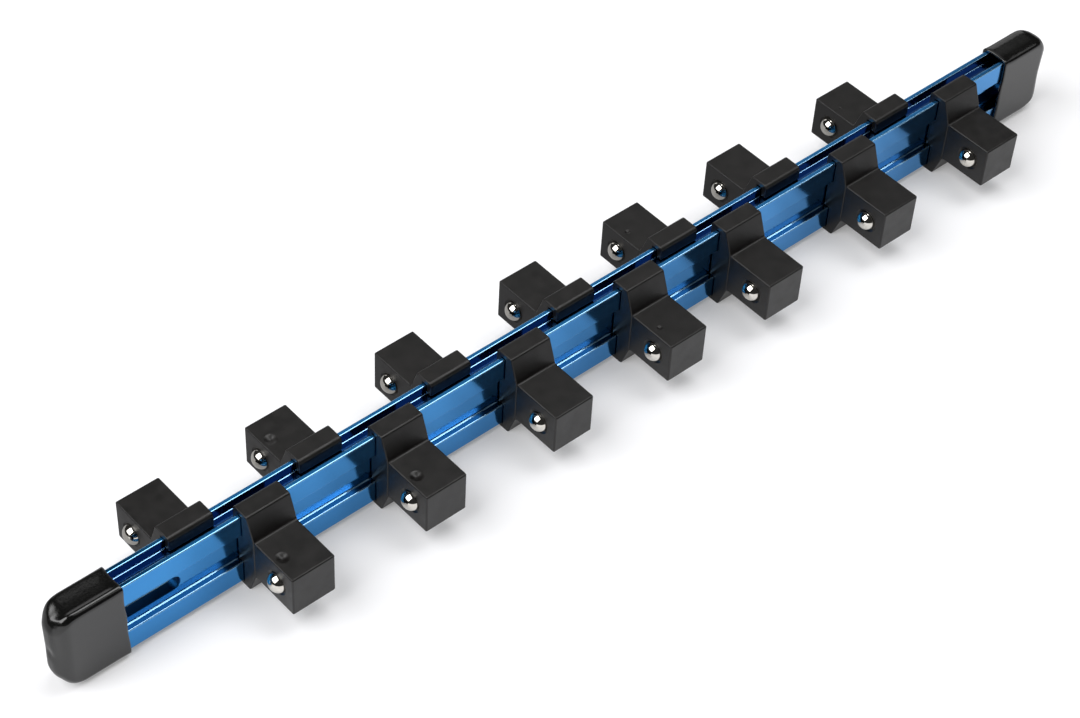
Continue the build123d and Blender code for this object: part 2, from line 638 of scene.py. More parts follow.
def flatten(obj: Object, name: str) -> Object:
    """Turn an object with live modifiers into a plain mesh object.

    Args:
        obj: The object, which is removed.
        name: The name of the new one.

    Returns:
        The plain object.
    """
    evaluated = obj.evaluated_get(bpy.context.evaluated_depsgraph_get())
    mesh = bpy.data.meshes.new_from_object(evaluated)
    bpy.data.objects.remove(obj)
    mesh.name = name
    return new_object(name, mesh)


def combine(target: Object, tool: Object, operation: str) -> Object:
    """Join or cut two closed objects and remove the tool.

    Args:
        target: The object that stays.
        tool: The object that is joined to it or cut from it.
        operation: UNION or DIFFERENCE.

    Returns:
        The changed target.
    """
    modifier = target.modifiers.new("combine", "BOOLEAN")
    modifier.operation = operation
    modifier.solver = "EXACT"
    modifier.object = tool
    flattened = flatten(target, target.name)
    bpy.data.objects.remove(tool)
    return flattened


def smooth_by_angle(obj: Object, degrees: float = 32.0, weight: int = 100) -> Object:
    """Shade smooth up to an angle, with the flats kept flat by weighted normals.

    Args:
        obj: The object to shade.
        degrees: The angle past which an edge stays sharp.
        weight: How strongly large faces outweigh small ones, 50 being in step with their area.

    Returns:
        The plain, shaded object.
    """
    obj.data.shade_smooth()
    obj.data.set_sharp_from_angle(angle=math.radians(degrees))
    modifier = obj.modifiers.new("flats", "WEIGHTED_NORMAL")
    modifier.keep_sharp = True
    modifier.weight = weight
    return flatten(obj, obj.name)


def new_tree(name: str, sockets: dict[str, str]) -> tuple[Tree, Node]:
    """Start a Geometry Nodes tree with named inputs.

    Args:
        name: The tree's name.
        sockets: Name to socket type of each input between the geometry and the material.

    Returns:
        The tree and its input node.
    """
    tree = bpy.data.node_groups.new(name, "GeometryNodeTree")
    for label, kind in {"Geometry": GEOMETRY, **sockets, "Material": MATERIAL}.items():
        tree.interface.new_socket(label, in_out="INPUT", socket_type=kind)
    tree.interface.new_socket("Geometry", in_out="OUTPUT", socket_type=GEOMETRY)
    return tree, add_node(tree, "NodeGroupInput")


def end_tree(tree: Tree, source: Node, geometry: Node) -> None:
    """End a tree with Realize Instances and Set Material.

    Args:
        tree: The tree to end.
        source: Its input node.
        geometry: The node whose geometry comes out.
    """
    real = add_node(tree, "GeometryNodeRealizeInstances", {"Geometry": geometry})
    finish = source.outputs["Material"]
    dressed = add_node(tree, "GeometryNodeSetMaterial", {"Geometry": real, "Material": finish})
    add_node(tree, "NodeGroupOutput", {"Geometry": dressed})


def grow(name: str, tree: Tree, values: dict[str, Any]) -> Object:
    """Run a tree on an empty mesh and keep the result as a plain object.

    Args:
        name: The piece's name.
        tree: The Geometry Nodes tree.
        values: Input name to value.

    Returns:
        The plain object, at the origin.
    """
    seed = new_object(name + "_seed", bpy.data.meshes.new(name + "_seed"))
    modifier = seed.modifiers.new("grow", "NODES")
    modifier.node_group = tree
    for item in tree.interface.items_tree:
        if item.in_out == "INPUT" and item.name in values:
            modifier[item.identifier] = values[item.name]
    return flatten(seed, name)


@dataclass
class Rail:
    """The extrusion: two lipped channels back to back on a web, with a hanging slot near each end.

    The last five sizes tell apart the places that get painted light: how much of an edge's radius is corner,
    the normal's share along X under which a face runs lengthways and over which it closes an end, how far up
    the slots' walls are looked for, and how far off still counts as on a place.
    """

    finish: Material
    length: float = 346.0
    half_width: float = 3.65
    half_height: float = 12.15
    web_half: float = 1.55
    recess_half: float = 5.02
    channel_half: float = 2.2
    channel_floor: float = 9.2
    edge_radius: float = 0.34
    corner_radius: float = 0.36
    facet_reach: float = 0.38
    facet_rise: float = 0.155
    facet_blend: float = 0.05
    ledge_fall: float = 0.1
    slot_half: float = 2.2
    slot_drop: float = 0.45
    slot_length: float = 24.0
    slot_middle: float = 151.5
    slot_chamfer: float = 0.18
    corner_share: float = 0.8
    lengthways: float = 0.05
    endways: float = 0.999
    slot_zone: float = 8.2
    near: float = 0.01

    def outline(self) -> list[Point]:
        """The section of the extrusion.

        Returns:
            The section's points, across and up.
        """
        edge, blend = self.edge_radius, self.facet_blend
        ledge_root, web_edge = self.recess_half + self.ledge_fall, self.web_half + self.facet_reach
        right = [
            (web_edge, -ledge_root, blend),
            (self.web_half, -ledge_root + self.facet_rise, 0.0),
            (self.web_half, ledge_root - self.facet_rise, 0.0),
            (web_edge, ledge_root, blend),
            (self.half_width, self.recess_half, edge),
            (self.half_width, self.half_height, edge),
            (self.channel_half, self.half_height, edge),
            (self.channel_half, self.channel_floor, self.corner_radius),
        ]
        left = [(-u, v, r) for u, v, r in reversed(right[2:])]
        left += [(-u, -v, r) for u, v, r in right[2:]]
        lower = [(u, -v, r) for u, v, r in reversed(right[4:])]
        return rounded_outline(right + left + lower)

    def slot_tool(self, side: int, beyond: float = 0.5, steps: int = 24) -> Object:
        """The tool that cuts one slot and breaks its edges.

        Args:
            side: 1 for the right end, -1 for the left.
            beyond: How far it stands out of the web, in millimetres.
            steps: The pieces of each round end.

        Returns:
            The cutting object.
        """
        reach = self.slot_length / 2 - self.slot_half
        wide = self.slot_half + self.slot_chamfer
        half_profile = (
            (self.web_half + beyond, wide + beyond),
            (self.web_half, wide),
            (self.web_half - self.slot_chamfer, self.slot_half),
        )
        profile = [(-depth, radius) for depth, radius in half_profile] + list(reversed(half_profile))
        sections = []
        for depth, radius in profile:
            ring = []
            for end in (1, -1):
                for step in range(steps + 1):
                    angle = math.pi * (step / steps - 0.5) + (0 if end == 1 else math.pi)
                    across = side * self.slot_middle + end * reach + radius * math.cos(angle)
                    ring.append(Vector((across, depth, MIDDLE_Z - self.slot_drop + radius * math.sin(angle))))
            sections.append(ring)
        return loft("slot_tool", sections)

    def section_object(self) -> Object:
        """The section as a loop of edges in the YZ plane.

        Returns:
            The object that holds the loop.
        """
        shape = bpy.data.meshes.new("rail_section")
        points = [Vector((0, u * MM, (v + MIDDLE_Z) * MM)) for u, v in self.outline()]
        shape.from_pydata(points, [(i, (i + 1) % len(points)) for i in range(len(points))], [])
        return new_object("rail_section", shape)

    def extrusion_tree(self) -> Tree:
        """The tree that draws the section out along X.

        Returns:
            The tree. It fills the section lying down, as Fill Curve works in the XY plane.
        """
        move = "GeometryNodeTransform"
        tree, source = new_tree("extrude_rail", {"Section": OBJECT, "Length": FLOAT})
        info = add_node(tree, "GeometryNodeObjectInfo", {"Object": source.outputs["Section"]})
        curve = add_node(tree, "GeometryNodeMeshToCurve", {"Mesh": info.outputs["Geometry"]})
        lying = add_node(tree, move, {"Geometry": curve, "Rotation": (0.0, math.pi / 2, 0.0)})
        flat = add_node(tree, "GeometryNodeFillCurve", {"Curve": lying}, mode="NGONS")
        upright = add_node(tree, move, {"Geometry": flat, "Rotation": (0.0, -math.pi / 2, 0.0)})
        along = add_node(tree, "ShaderNodeCombineXYZ", {"X": source.outputs["Length"]})
        drawing = {"Mesh": upright, "Offset": along, "Offset Scale": 1.0, "Individual": False}
        drawn = add_node(tree, "GeometryNodeExtrudeMesh", drawing)
        ends = add_node(tree, "GeometryNodeJoinGeometry", {"Geometry": drawn})
        fill(tree, ends, {"Geometry": upright})
        whole = add_node(tree, "GeometryNodeMergeByDistance", {"Geometry": ends, "Distance": WELD})
        half = add_node(tree, "ShaderNodeMath", {0: source.outputs["Length"], 1: -0.5}, operation="MULTIPLY")
        shift = add_node(tree, "ShaderNodeCombineXYZ", {"X": half})
        end_tree(tree, source, add_node(tree, move, {"Geometry": whole, "Translation": shift}))
        return tree

    def build(self) -> Object:
        """Make the extrusion along X and cut its slots.

        Returns:
            The finished rail.
        """
        outline = self.section_object()
        values = {"Section": outline, "Length": self.length * MM, "Material": self.finish}
        rail = grow("rail_extrusion", self.extrusion_tree(), values)
        bpy.data.objects.remove(outline)
        face_outwards(rail)
        for side in (-1, 1):
            rail = combine(rail, self.slot_tool(side), "DIFFERENCE")
        self.mark_faces(rail)
        rail = smooth_by_angle(rail)
        dress(rail, self.finish)
        return rail

    def mark_faces(self, rail: Object) -> None:
        """Store how much of each painted tint is on each face.

        Red is for the painted highlight on the long edges and the facets of the recesses, green for the
        painted shade on the walls of the slots, blue for the paler paint on the ledges of the recesses and
        alpha for the painted shade in the channels.

        Args:
            rail: The extrusion with its slots cut.
        """
        shares = rail.data.attributes.new(PAINTED_LIGHT_SHARES, "FLOAT_COLOR", "CORNER")
        near, facet_up = self.near, self.recess_half + self.ledge_fall - self.facet_rise / 2
        edges = (
            (self.web_half + self.facet_reach / 2, facet_up),
            (self.half_width, self.recess_half),
            (self.half_width, self.half_height),
            (self.channel_half, self.half_height),
            (self.channel_half, self.channel_floor),
        )
        colours = []
        for polygon in rail.data.polygons:
            across, up = abs(polygon.center.y) / MM, abs(polygon.center.z / MM - MIDDLE_Z)
            to_end = abs(polygon.normal.x)
            off = min(math.hypot(across - u, up - v) for u, v in edges)
            # Masks for painted light: edge gets the painted highlight, cut and channel get painted shade,
            # ledge gets the paler paint; cut also makes the slots' walls rough.
            edge = to_end < self.lengthways and off < self.corner_share * self.edge_radius
            cut = across < self.web_half - near and up < self.slot_zone and to_end < self.endways
            level = abs(up - self.recess_half) < self.ledge_fall + near
            ledge = across > self.web_half and level and not edge
            channel = across < self.channel_half + near and up > self.channel_floor - near and not edge
            colours += [float(edge), float(cut), float(ledge), float(channel)] * polygon.loop_total
        shares.data.foreach_set("color", colours)

    def mount(self) -> None:
        """Make the rail and put it on its body."""
        rail = self.build()
        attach(rail, "rail")
        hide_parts("rail")
        LOG.info("rail: %d faces", len(rail.data.polygons))


@dataclass
class EndCap:
    """A vinyl cap: a dipped cup that sags between the rail's walls and round the rail's end.

    Sizes are in millimetres from the rail's axis. `end` and `mouth` are measured from the
    rail's middle, and `sags` holds places across the cap with the sag's depth at each.
    `wander_waves` holds the mouth's waves: per millimetre up, their start, and per
    millimetre across. `closing` holds the shares at which the end's flat is ringed.
    """

    finish: Material
    side: str
    end: float
    base_radius: float
    wide_radius: float
    sags: tuple[Point, ...]
    mouth: float = 157.0
    half_width: float = 4.68
    top_height: float = 13.15
    base_height: float = 12.85
    section_radius: float = 1.35
    end_section_growth: float = 3.0
    end_section_reach: float = 7.0
    end_section_power: float = 1.5
    least_radius: float = 0.02
    fullest: float = 0.98
    lip_radius: float = 0.3
    depth: float = 16.45
    rail_half_width: float = 3.67
    rail_half_height: float = 12.17
    hollow_radius: float = 0.5
    top_radius: float = 4.7
    sag_foot: float = 9.0
    sag_rise: float = 3.5
    lip_sag: float = 0.3
    sag_growth: float = 0.25
    end_reach: float = 6.0
    far_drop: float = 0.5
    waist_depth: float = 0.4
    waist_half: float = 9.5
    lean: float = 0.0
    lean_reach: float = 6.0
    wander: float = 0.12
    wander_waves: Corner = (0.55, 0.8, 0.7)
    wander_reach: float = 3.0
    dent_depth: float = 0.3
    dent_radius: float = 1.9
    dent_drop: float = 0.8
    closing: tuple[float, ...] = (0.75, 0.5, 0.25, 0.06)
    around: int = 144

    @property
    def length(self) -> float:
        """The cap's length from its mouth to its end."""
        return self.end - self.mouth

    def ring(
        self, along: float, half_width: float, top: float, base: float, radius: float, outer: float
    ) -> list[Vector]:
        """One ring of the cap round the rail's axis.

        Args:
            along: Its place from the mouth, in millimetres.
            half_width: Half its width.
            top: Its height above the rail's axis.
            base: Its depth below the axis.
            radius: The radius of its corners.
            outer: 1 on the outside, less inside, where the sag is shallower.

        Returns:
            The ring's points.
        """
        half_height, lift = (top + base) / 2, (top - base) / 2
        fullest = min(half_width * self.fullest, half_height * self.fullest)
        radius = max(self.least_radius, min(radius, fullest))
        straight_y, straight_z = half_width - radius, half_height - radius
        bend = math.pi / 2 * radius
        quarter = straight_y + straight_z + bend
        points = []
        for i in range(self.around):
            number, rest = divmod(4 * quarter * i / self.around, quarter)
            first, second = (straight_y, straight_z) if number % 2 == 0 else (straight_z, straight_y)
            if rest < first:
                u, v = rest, second + radius
            elif rest < first + bend:
                angle = (rest - first) / radius
                u, v = first + radius * math.sin(angle), second + radius * math.cos(angle)
            else:
                u, v = first + radius, second - (rest - first - bend)
            y, z = ((u, v), (v, -u), (-u, -v), (-v, u))[int(number) % 4]
            points.append(self.soften(Vector((along, y, z + lift)), outer))
        return points

    def sag(self, y: float) -> float:
        """How deep the vinyl sags, on a smooth curve through the knots of `sags`.

        Args:
            y: The place across the cap.

        Returns:
            The depth there, in millimetres.
        """
        places, depths = zip(*self.sags)
        if not places[0] < y < places[-1]:
            return depths[0] if y <= places[0] else depths[-1]
        after = next(i for i, place in enumerate(places) if place >= y)
        before, gap = after - 1, places[after] - places[after - 1]
        slopes = []
        for i in (before, after):
            low, high = max(i - 1, 0), min(i + 1, len(places) - 1)
            slopes.append((depths[high] - depths[low]) / (places[high] - places[low]) * gap)
        t = (y - places[before]) / gap
        return (
            (2 * t**3 - 3 * t**2 + 1) * depths[before]
            + (t**3 - 2 * t**2 + t) * slopes[0]
            + (3 * t**2 - 2 * t**3) * depths[after]
            + (t**3 - t**2) * slopes[1]
        )

    def soften(self, point: Vector, outer: float) -> Vector:
        """Move a point of the plain form to where the soft vinyl has it.

        Args:
            point: The point on the plain form, along from the mouth.
            outer: How much of the sag it gets.

        Returns:
            The point in the rail's frame, for the right end.
        """
        along, y, z = point
        fade = min(1.0, max(0.0, (abs(z) - self.sag_foot) / self.sag_rise))
        drop = self.sag(y) * outer * fade
        drop *= min(1.0, self.lip_sag + self.sag_growth * max(0.0, along))
        near_end = max(0.0, (along - self.length + self.end_reach) / self.end_reach) ** 2 * outer
        if z > 0:
            drop += self.far_drop * max(0.0, y / self.half_width) * near_end
        waist = self.waist_depth * max(0.0, math.cos(min(1.0, abs(z) / self.waist_half) * math.pi / 2)) ** 2
        off_dent = (y / self.dent_radius) ** 2 + ((z + self.dent_drop) / self.dent_radius) ** 2
        dent = self.dent_depth * math.exp(-off_dent)
        up_wave, start, across_wave = self.wander_waves
        wander = self.wander * math.sin(z * up_wave + start) * math.cos(y * across_wave)
        wander *= max(0.0, 1 - along / self.wander_reach)
        leaning = self.lean * z / self.rail_half_height * max(0.0, 1 - along / self.lean_reach)
        along += wander + leaning - (waist + dent) * near_end
        return Vector((self.mouth + along, y, z - math.copysign(drop, z) + MIDDLE_Z))

    def inside_rings(self, steps: int = 6, lip_steps: int = 8) -> list[list[Vector]]:
        """The rings from the bottom of the cup to its mouth, and round its lip.

        Args:
            steps: The rings along the wall.
            lip_steps: The pieces round the lip.

        Returns:
            The rings, in order.
        """
        width, height, radius = self.rail_half_width, self.rail_half_height, self.hollow_radius
        bottom = self.depth - self.lip_radius
        rings = []
        for step in range(steps + 1):
            along = bottom - (bottom - self.lip_radius) * step / steps
            rings.append(self.ring(along, width, height, height, radius, 0.0))
        for step in range(1, lip_steps):
            angle = math.pi * step / lip_steps
            share = (1 - math.cos(angle)) / 2
            rings.append(
                self.ring(
                    self.lip_radius * (1 - math.sin(angle)),
                    width + (self.half_width - width) * share,
                    height + (self.top_height - height) * share,
                    height + (self.base_height - height) * share,
                    radius + (self.section_radius - radius) * share,
                    share,
                )
            )
        return rings

    def outside_rings(self, steps: int = 24, end_steps: int = 26) -> list[list[Vector]]:
        """The rings along the outside and round the end.

        Args:
            steps: The pieces along the straight part.
            end_steps: The pieces round the end.

        Returns:
            The rings, in order.
        """
        stop = self.length - max(self.top_radius, self.base_radius)
        places = [self.lip_radius + (stop - self.lip_radius) * step / steps for step in range(steps + 1)]
        for step in range(1, end_steps + 1):
            places.append(stop + (self.length - stop) * math.sin(math.pi / 2 * step / end_steps))
        rings = [self.outside_ring(along) for along in places]
        top, base = self.top_height - self.top_radius, self.base_height - self.base_radius
        flat = self.half_width - self.wide_radius
        for share in self.closing:
            gone = flat * (1 - share)
            rings.append(self.ring(self.length, flat * share, top - gone, base - gone, flat, 1.0))
        return rings

    def outside_ring(self, along: float) -> list[Vector]:
        """The outside ring at a place along the cap.

        Args:
            along: The place, from the mouth.

        Returns:
            The ring's points.
        """
        from_end = self.length - along
        sizes = []
        for full, radius in (
            (self.half_width, self.wide_radius),
            (self.top_height, self.top_radius),
            (self.base_height, self.base_radius),
        ):
            beyond = max(0.0, radius - from_end)
            sizes.append(full - radius + math.sqrt(max(0.0, radius**2 - beyond**2)))
        share = max(0.0, (self.end_section_reach - from_end) / self.end_section_reach)
        growth = self.end_section_growth * share**self.end_section_power
        return self.ring(along, *sizes, self.section_radius + growth, 1.0)

    def build(self) -> Object:
        """Make the cap as a closed cup.

        Returns:
            The finished cap.
        """
        rings = self.inside_rings() + self.outside_rings()
        count = self.around
        vertices = [point for ring in rings for point in ring]
        faces = band_faces(len(rings), count)
        for base in (0, (len(rings) - 1) * count):
            for i in range(count // 2):
                strip = [base + i, base + i + 1, base + (count - i - 1) % count, base + (count - i) % count]
                corners = list(dict.fromkeys(strip))
                if len(corners) > 2:
                    faces.append(corners)
        if self.side == "left":
            vertices = [Vector((-x, y, z)) for x, y, z in vertices]
        cap = mesh_object(f"{self.side}_vinyl_cap", vertices, faces)
        cap.data.shade_smooth()
        dress(cap, self.finish)
        return cap

    def mount(self) -> None:
        """Make the cap and put it on the rail's body."""
        cap = self.build()
        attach(cap, "rail")
        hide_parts(f"{self.side}_end_cap")
        LOG.info("%s cap: %d faces", self.side, len(cap.data.polygons))


@dataclass
class ClipMoulding:
    """The nylon clip: a saddle hooked over both edges of the rail, with a square drive post.

    It is made as it sits on the rear, at the rail's middle. Reaches are measured out from
    the rail's axis, and the bore's profile holds depths below the post's face with the
    radius at each: the staked ring, the lip that keeps the ball, and the bore. The root's
    fillet goes into the moulding by `root_inside` and stops short of the post's sides. A
    sink mark's tool starts above the face, and its rim just clears it.
    """

    finish: Material
    half_clip: float = 6.75
    half_post: float = 6.58
    post_root: float = 8.6
    post_tip: float = 24.05
    top: float = 13.85
    top_reach: float = 6.0
    underside: float = 12.27
    back: float = 3.77
    pad_face: float = 1.8
    pad_half: float = 5.03
    hook_back: float = 0.2
    hook_front: float = 2.08
    hook_end: float = 9.45
    hook_radius: float = 0.4
    back_radius: float = 1.25
    ridge_radius: float = 0.75
    side_radius: float = 0.32
    post_radius: float = 0.4
    tip_radius: float = 0.5
    tip_share: float = 0.5
    least_radius: float = 0.08
    root_radius: float = 0.8
    root_inside: tuple[Point, Point] = ((0.3, -0.5), (-0.5, -0.3))
    root_short: float = 0.12
    overlap: float = 2.0
    ball_reach: float = 17.5
    bore_profile: tuple[Point, ...] = (
        (-1.0, 3.62), (0.0, 3.62), (0.1, 3.5), (0.34, 3.06),
        (0.4, 2.98), (0.5, 2.985), (0.7, 3.06), (10.23, 3.06),
    )
    mark_inset: float = 2.75
    mark_setback: float = 1.0
    mark_rim: float = 0.01
    mark_above: float = 0.4
    moulds: dict[tuple[Side, Mark], Object] = field(default_factory=dict)

    def saddle(self, steps: int = 5, corner_steps: int = 8) -> Object:
        """The saddle, with its side edges rounded.

        Args:
            steps: The pieces of each rounded side edge.
            corner_steps: The pieces of each rounded corner of its outline.

        Returns:
            The closed saddle.
        """
        upper = [
            (self.pad_face, self.pad_half, 0.0),
            (self.back, self.pad_half, 0.0),
            (self.back, self.underside, 0.0),
            (self.hook_front, self.underside, 0.0),
            (self.hook_front, self.hook_end, self.hook_radius),
            (self.hook_back, self.hook_end, self.hook_radius),
            (self.hook_back, self.top, self.back_radius),
            (self.top_reach, self.top, self.ridge_radius),
            (self.post_root, self.half_post, 0.0),
        ]
        lower = [(u, -v, r) for u, v, r in reversed(upper)]
        outline = rounded_outline(upper + lower, corner_steps)
        half_sections = []
        for step in range(steps + 1):
            angle = math.pi / 2 * step / steps
            across = self.half_clip - self.side_radius * (1 - math.cos(angle))
            half_sections.append((across, inset(outline, self.side_radius * (1 - math.sin(angle)))))
        sections = [[Vector((-across, u, v)) for u, v in ring] for across, ring in half_sections]
        sections += [[Vector((across, u, v)) for u, v in ring] for across, ring in reversed(half_sections)]
        return loft("clip_saddle", sections)

    def post(self, steps: int = 6) -> Object:
        """The square post, rounded along its edges and more at its tip.

        Args:
            steps: The pieces of the rounding at the tip.

        Returns:
            The closed post, which starts inside the saddle.
        """
        straight_end = self.post_tip - self.tip_radius
        stations = [((self.top_reach + self.post_root) / 2 - self.overlap, 0.0), (straight_end, 0.0)]
        for step in range(1, steps + 1):
            angle = math.pi / 2 * step / steps
            reach = self.post_tip - self.tip_radius * (1 - math.sin(angle))
            stations.append((reach, self.tip_radius * (1 - math.cos(angle))))
        sections = []
        for reach, drawn_in in stations:
            half = self.half_post - drawn_in
            radius = max(self.least_radius, self.post_radius - drawn_in * self.tip_share)
            square = [(u * half, v * half, radius) for u, v in ((1, 1), (-1, 1), (-1, -1), (1, -1))]
            sections.append([Vector((u, reach, v)) for u, v in rounded_outline(square)])
        return loft("clip_post", sections)

    def root_fillet(self, level: int, steps: int = 7) -> Object:
        """The inside radius where the slanted face runs into the post.

        Args:
            level: 1 for the post's upper face, -1 for its lower one.
            steps: The arc's pieces.

        Returns:
            The strip that fills the corner.
        """
        slope = Vector((self.top_reach - self.post_root, self.top - self.half_post)).normalized()
        corner = Vector((self.post_root, self.half_post))
        round_part = arc(corner, slope, Vector((1.0, 0.0)), self.root_radius, steps)
        inside = [corner + Vector(step) for step in self.root_inside]
        loop = [(p.x, p.y * level) for p in [*round_part, *inside]]
        half = self.half_post - self.root_short
        return loft("clip_root", [[Vector((x, u, v)) for u, v in loop] for x in (-half, half)])

    def bore_tool(self, around: int = 64) -> Object:
        """The tool for the ball's bore: a broken edge, the staked lip and the bore itself.

        Args:
            around: The points of each ring.

        Returns:
            The cutting object.
        """
        sections = []
        for depth, radius in self.bore_profile:
            x, reach = depth - self.half_post, self.ball_reach
            sections.append([Vector((x, reach + radius * c, radius * s)) for c, s in circle(around)])
        return loft("clip_bore", sections)

    def mark_tool(self, mark: Mark, side: Side, rows: int = 10, around: int = 40) -> Object:
        """The tool for a sink mark on the face that ends up on top.

        Args:
            mark: The mark's size.
            side: The side of the rail, which decides the face.
            rows: The rings from the mark's rim to its middle.
            around: The points of each ring.

        Returns:
            The cutting object, a low bell that leaves a soft dish.
        """
        width, depth = mark.value
        centre_x, centre_y = self.mark_inset - self.half_post, self.ball_reach - self.mark_setback
        sections = []
        for row in range(-1, rows):
            share = max(0, row) / rows
            radius = width / 2 * (1 - share)
            low = depth * (0.5 - 0.5 * math.cos(math.pi * share)) - self.mark_rim
            level = side.up * (self.half_post - (low if row >= 0 else -self.mark_above))
            ring = [(centre_x + radius * c, centre_y + radius * s, level) for c, s in circle(around)]
            sections.append([Vector(point) for point in ring])
        return loft("clip_mark", sections)

    def mould(self, side: Side, mark: Mark) -> Object:
        """Make the clip at the middle of the rail, as on the rear.

        Args:
            side: The side it is for, which only matters to its mark.
            mark: Its sink mark.

        Returns:
            The shaded clip, hidden from the render.
        """
        key = (side if mark is not Mark.NONE else Side.REAR, mark)
        if key in self.moulds:
            return self.moulds[key]
        clip = combine(self.saddle(), self.post(), "UNION")
        for level in (1, -1):
            clip = combine(clip, self.root_fillet(level), "UNION")
        clip = combine(clip, self.bore_tool(), "DIFFERENCE")
        if mark is not Mark.NONE:
            clip = combine(clip, self.mark_tool(mark, side), "DIFFERENCE")
        face_outwards(clip)
        clip = smooth_by_angle(clip)
        clip.name = f"clip_mould_{side.label}_{mark.name.lower()}"
        clip.hide_render = True
        self.moulds[key] = clip
        return clip

    def clear(self) -> None:
        """Remove the moulds once every clip is made."""
        for clip in self.moulds.values():
            bpy.data.objects.remove(clip)
        self.moulds.clear()


@dataclass
class Detent:
    """The sprung ball in a post: a polished ball and the coil behind it.

    Depths are measured from the face of the nominal post.
    """

    ball_finish: Material
    wire_finish: Material
    ball_radius: float = 3.0
    ball_inset: float = 0.5
    ball_reach: float = 17.5
    half_post: float = 6.35
    bore_depth: float = 10.0
    travel: float = 2.3
    coil_radius: float = 2.05
    wire_radius: float = 0.3
    coil_start: float = 3.12
    turns: float = 5.5
    ball_segments: int = 64
    ball_rings: int = 32
    coil_steps: int = 28
    wire_steps: int = 14

    def placed_tree(self, name: str, sockets: dict[str, str]) -> tuple[Tree, Node, Node]:
        """Start a tree whose form along Z is turned to lie along X and put in its place.

        Args:
            name: The tree's name.
            sockets: Name to socket type of the form's own inputs.

        Returns:
            The tree, its input node and the node that turns and moves.
        """
        tree, source = new_tree(name, {**sockets, "Place": VECTOR})
        inputs = {"Rotation": (0.0, math.pi / 2, 0.0), "Translation": source.outputs["Place"]}
        return tree, source, add_node(tree, "GeometryNodeTransform", inputs)

    def ball_tree(self) -> Tree:
        """The tree that turns a ball out at its place.

        Returns:
            The tree.
        """
        tree, source, turned = self.placed_tree("detent_ball", {"Radius": FLOAT})
        radius = source.outputs["Radius"]
        inputs = {"Segments": self.ball_segments, "Rings": self.ball_rings, "Radius": radius}
        fill(tree, turned, {"Geometry": add_node(tree, "GeometryNodeMeshUVSphere", inputs)})
        end_tree(tree, source, add_node(tree, "GeometryNodeSetShadeSmooth", {"Geometry": turned}))
        return tree

    def coil_tree(self) -> Tree:
        """The tree that winds a coil along X from its place.

        Returns:
            The tree.
        """
        sockets = dict.fromkeys(("Turns", "Radius", "Length", "Wire radius"), FLOAT)
        tree, source, turned = self.placed_tree("detent_coil", sockets)
        turns, radius, length, wire_radius = (source.outputs[name] for name in sockets)
        winding = {
            "Resolution": self.coil_steps,
            "Rotations": turns,
            "Start Radius": radius,
            "End Radius": radius,
            "Height": length,
        }
        spiral = add_node(tree, "GeometryNodeCurveSpiral", winding)
        section = {"Resolution": self.wire_steps, "Radius": wire_radius}
        wire = add_node(tree, "GeometryNodeCurvePrimitiveCircle", section)
        sweep = {"Curve": spiral, "Profile Curve": wire, "Fill Caps": True}
        fill(tree, turned, {"Geometry": add_node(tree, "GeometryNodeCurveToMesh", sweep)})
        end_tree(tree, source, turned)
        return tree


